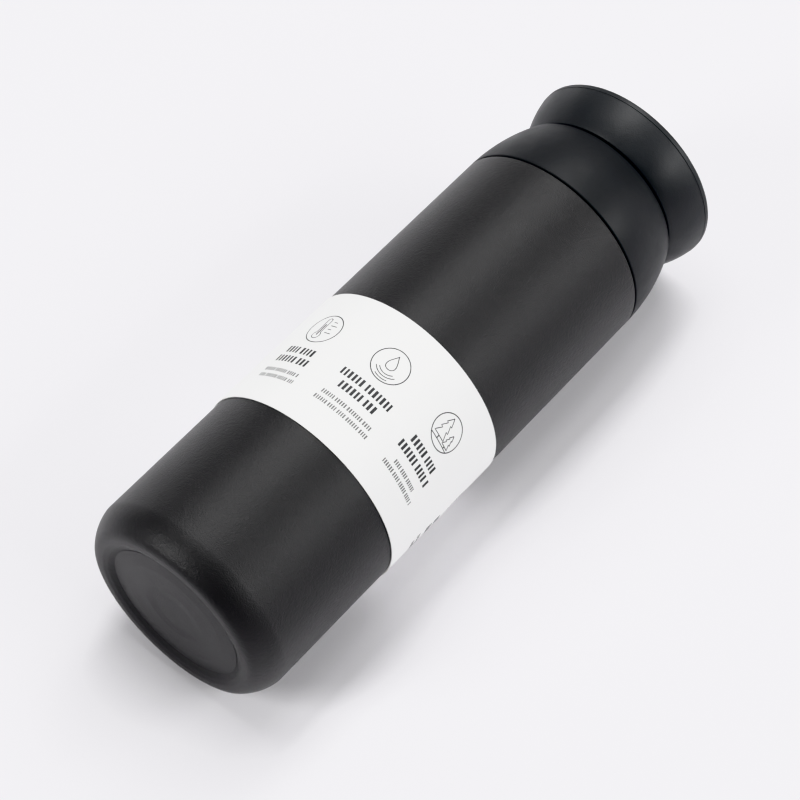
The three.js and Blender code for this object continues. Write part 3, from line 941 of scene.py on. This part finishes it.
# ---- Paper band ----------------------------------------------------------------------
# Strip of uncoated white card wrapped once round the body and glued to itself, with its
# lap on the side away from the print. It is held by friction only.

paper = grained(
    "white_card", (0.84, 0.84, 0.835), (0.8, 0.8, 0.795), 0.8, 0.9, 1500, 60, 0.00003, specular=0.2
)

_, band_low, band_high = span("paper_sleeve")
card = 0.3  # its thickness
band_r = body_r + 0.08  # its inner face
lap_start = 114.0  # angle at which the strip starts
lap_deg = 21.0  # how far it passes over its own start
step_deg = 14  # over which it steps out before that
lap_rise = card + 0.1


def band_radius(turn_deg, z):
    """Inner radius of the wrapped strip: it steps out by lap_rise before it passes over its
    own start, and stands off the body by a few hundredths in slow waves."""
    x = np.clip((turn_deg - 360 + step_deg) / step_deg, 0, 1)
    slow = np.radians(turn_deg)
    waves = 0.03 * np.sin(3 * slow + 0.05 * z) + 0.02 * np.sin(5 * slow - 0.11 * z)
    return band_r + lap_rise * ease(x) + waves * np.clip(turn_deg / 30, 0, 1)


def wrapped_strip(name, from_deg, to_deg, low, high, thickness, inner, columns):
    """Closed strip round the axis: a rectangle of that thickness, from low to high, carried
    from one angle to the other. Vertex = (R cos a, R sin a, z), R = inner(a, z) on its inner
    side and R + thickness on its outer; both ends are closed."""
    turn = np.linspace(from_deg, to_deg, columns)[:, None]
    z = np.linspace(low, high, 28)[None]
    section_z = np.concatenate([z, z[:, ::-1]], axis=1)
    outer_side = np.repeat([1.0, 0.0], z.size)[None]
    radius = inner(turn, section_z) + thickness * outer_side
    a = np.radians(lap_start + turn)
    grid = np.stack([radius * np.cos(a), radius * np.sin(a), section_z + 0 * a], axis=2)
    around = section_z.size
    i = np.arange(columns - 1)[:, None] * around
    k = np.arange(around)
    k_next = (k + 1) % around
    quads = [i + k, i + around + k, i + around + k_next, i + k_next]
    faces = np.stack(quads, axis=2).reshape(-1, 4)
    half = np.arange(z.size - 1)
    end = np.stack([half, half + 1, around - 2 - half, around - 1 - half], axis=1)
    last = (columns - 1) * around
    faces = np.concatenate([faces, end, last + end[:, ::-1]])
    return surface(name, grid.reshape(-1, 3), faces.tolist())


sleeve = wrapped_strip(
    "card_sleeve", 0, 360 + lap_deg, band_low, band_high, card, band_radius, 380
)
crisp = sleeve.modifiers.new("crisp_edges", "EDGE_SPLIT")
crisp.split_angle = np.radians(50)
place(sleeve, paper, "sleeve", "white_paper", "paper_sleeve")

glue = grained("dried_glue", (0.66, 0.62, 0.5), (0.56, 0.52, 0.4), 0.3, 0.5, 500, 100, 0.0001)
glue_line = wrapped_strip(
    "glue_line",
    from_deg=4,
    to_deg=17,
    low=band_low + 3,
    high=band_high - 3,
    thickness=0.06,
    inner=lambda turn, z: band_radius(turn, z) + card + 0.02,
    columns=16,
)
place(glue_line, glue, "sleeve", "glue", "sleeve_glue_strip")

# ---- Print on the band ---------------------------------------------------------------
# Grey ink in columns that face the cap: a plain line picture in a ring, two heavy rows and
# two fine rows of blank cells. Each mark is a film of ink on the card.

ink = grained("grey_ink", (0.05, 0.05, 0.052), (0.035, 0.035, 0.037), 0.6, 0.7, 1500, 60, 0.00001)
faint_ink = grained("faint_ink", (0.2, 0.2, 0.2), (0.14, 0.14, 0.14), 0.6, 0.7, 1500, 60, 0.00001)

film = 0.02  # thickness of the ink
column_at = (-119.6, -77.0, -34.2, 27.0)  # angles of the columns, in degrees
icon_z = band_low + 35.0
icon_r = 6.4
hair = 0.3  # width of a drawn line
picture_unit = 1.3

marks = {"print_marks": [], "fine_print_marks": []}


def stroke(sheet_name, column, points, width, closed=False):
    """Ribbon of ink along points (across, height) in millimetres, across being measured round
    the band from the column's middle. Its section is a flat rectangle, laid at right angles to
    the line: corner = point + side * normal * width / 2, at the card's face or a film over it."""
    p = np.array(points, float)
    if closed:
        ahead = np.roll(p, -1, axis=0) - np.roll(p, 1, axis=0)
    else:
        ahead = np.gradient(p, axis=0)
    ahead /= np.linalg.norm(ahead, axis=1)[:, None]
    normal = np.stack([-ahead[:, 1], ahead[:, 0]], axis=1) * width / 2
    side = np.array([-1, 1, 1, -1])[None, :, None]
    flat = p[:, None] + normal[:, None] * side
    turn_deg = (column_at[column] - lap_start) % 360
    turn = turn_deg + np.degrees(flat[:, :, 0] / (band_r + card))
    raised = np.array([0, 0, film, film])[None]
    radius = band_radius(turn, flat[:, :, 1]) + card + raised
    a = np.radians(lap_start + turn)
    corners = np.stack([radius * np.cos(a), radius * np.sin(a), flat[:, :, 1]], axis=2)
    marks[sheet_name].append((corners, closed))


def print_sheet(name, material):
    """One mesh of all the ribbons of a sheet: quads round each section and along each line."""
    vertices, faces, first = [], [], 0
    for corners, closed in marks[name]:
        count = len(corners)
        i = np.arange(count if closed else count - 1)[:, None]
        j = (i + 1) % count
        k = np.arange(4)
        k_next = (k + 1) % 4
        quads = np.stack([i * 4 + k, i * 4 + k_next, j * 4 + k_next, j * 4 + k], axis=2)
        faces.append(first + quads.reshape(-1, 4))
        if not closed:
            last = (count - 1) * 4
            ends = np.array([[3, 2, 1, 0], [last, last + 1, last + 2, last + 3]])
            faces.append(first + ends)
        vertices.append(corners.reshape(-1, 3))
        first += count * 4
    piece = surface(name, np.concatenate(vertices), np.concatenate(faces).tolist(), smooth=False)
    place(piece, material, "sleeve", None)


def line(*points, step=0.5):
    """Points a step apart along a broken line."""
    stretches = []
    for a, b in zip(points, points[1:]):
        a, b = np.array(a, float), np.array(b, float)
        count = max(2, int(np.ceil(np.linalg.norm(b - a) / step)))
        stretches.append(a + (b - a) * np.arange(count)[:, None] / count)
    return np.concatenate([*stretches, [points[-1]]])


def round_line(x, z, radius, from_deg=0, to_deg=360, count=64):
    """Points on a circle or an arc of it."""
    a = np.radians(np.linspace(from_deg, to_deg, count, endpoint=to_deg - from_deg < 360))
    return np.stack([x + radius * np.cos(a), z + radius * np.sin(a)], axis=1)


def draw(column, points, closed=False, width=hair):
    """Stroke of a line picture, given from the middle of its ring, in picture units."""
    p = picture_unit * np.array(points, float) + (0, icon_z)
    stroke("print_marks", column, p, width, closed)


def thermometer(column):
    """Tube with a round bulb, and four marks beside it."""
    bulb = round_line(-0.8, -2.4, 1.2, 122, 418)
    tube = round_line(-0.8, 3.1, 0.65, 0, 180, 16)
    draw(column, np.concatenate([bulb, tube, bulb[:1]]))
    draw(column, line((-0.8, -2.4), (-0.8, 1.6)), width=0.5)
    for i in range(4):
        z = 2.8 - 1.3 * i
        draw(column, line((1.0, z), (2.2 + 0.8 * (i % 2), z)))


def drop(column):
    """Drop of water: x = w sin t sin(t / 2)^1.6, z = h cos t, over three ripples."""
    t = np.linspace(0, 2 * np.pi, 72, endpoint=False)
    x = 1.9 * np.sin(t) * np.sin(t / 2) ** 1.6
    z = 1.1 + 2.3 * np.cos(t)
    draw(column, np.stack([x, z], axis=1), closed=True)
    for radius, half_deg in ((2.9, 46), (3.7, 52), (4.5, 24)):
        draw(column, round_line(0, 0.3, radius, 270 - half_deg, 270 + half_deg, 24))


def tree(column):
    """Two firs of three tiers on their trunks, over a line of ground."""
    right = [(0, 4.2), (1.2, 2.0), (0.6, 2.0), (1.7, 0.0), (0.9, 0.0), (2.2, -2.2)]
    tiers = np.array(right + [(-x, z) for x, z in right[::-1]])
    for x, grow in ((-1.2, 0.95), (2.2, 0.6)):
        fir = (tiers + (0, 3.2)) * grow + (x, -3.2)
        draw(column, line(*fir))
        draw(column, line((x, fir[:, 1].min()), (x, -3.2)), width=0.4)
    draw(column, line((-3.7, -3.2), (3.7, -3.2)))


def sun(column):
    """Small circle with eight rays."""
    draw(column, round_line(0, 0, 1.7), closed=True)
    for a in np.radians(45.0 * np.arange(8)):
        draw(column, line(*[(r * np.cos(a), r * np.sin(a)) for r in (2.5, 3.9)]))


def cells(sheet_name, column, z, width, height, random):
    """Row of upright blank cells centred on the column: about a third as wide as they are
    tall, with gaps of the same order, and a wider gap after every few of them."""
    low, high = z - height / 2, z + height / 2
    x = -width / 2
    left = random.integers(4, 8)
    while x < width / 2 - 0.2 * height:
        cell = min(height * random.uniform(0.26, 0.36), width / 2 - x)
        middle = x + cell / 2
        stroke(sheet_name, column, line((middle, low), (middle, high)), cell)
        x += cell + 0.23 * height
        left -= 1
        if left == 0:
            x += 0.25 * height
            left = random.integers(4, 8)


cell_lengths = np.random.default_rng(11)
pictures = (thermometer, drop, tree, sun)
heavy_rows = ((13.6, 15.2), (21.0, 15.4), (15.0, 19.0), (17.0, 19.0))  # widths, by column
fine_rows = ((16.0, 16.0), (20.5, 22.0), (12.4, 18.6), (22.0, 21.0))
heavy_z, heavy_height = (24.0, 19.6), 2.9  # heights over the band's lower edge, and of a cell
fine_z, fine_height = (14.2, 11.3), 1.6
ring_width = 0.36
for column in range(len(column_at)):
    ring = round_line(0, icon_z, icon_r, count=96)
    stroke("print_marks", column, ring, ring_width, closed=True)
    pictures[column](column)
    for z, width in zip(heavy_z, heavy_rows[column]):
        cells("print_marks", column, band_low + z, width, heavy_height, cell_lengths)
    for z, width in zip(fine_z, fine_rows[column]):
        cells("fine_print_marks", column, band_low + z, width, fine_height, cell_lengths)

print_sheet("print_marks", ink)
print_sheet("fine_print_marks", faint_ink)
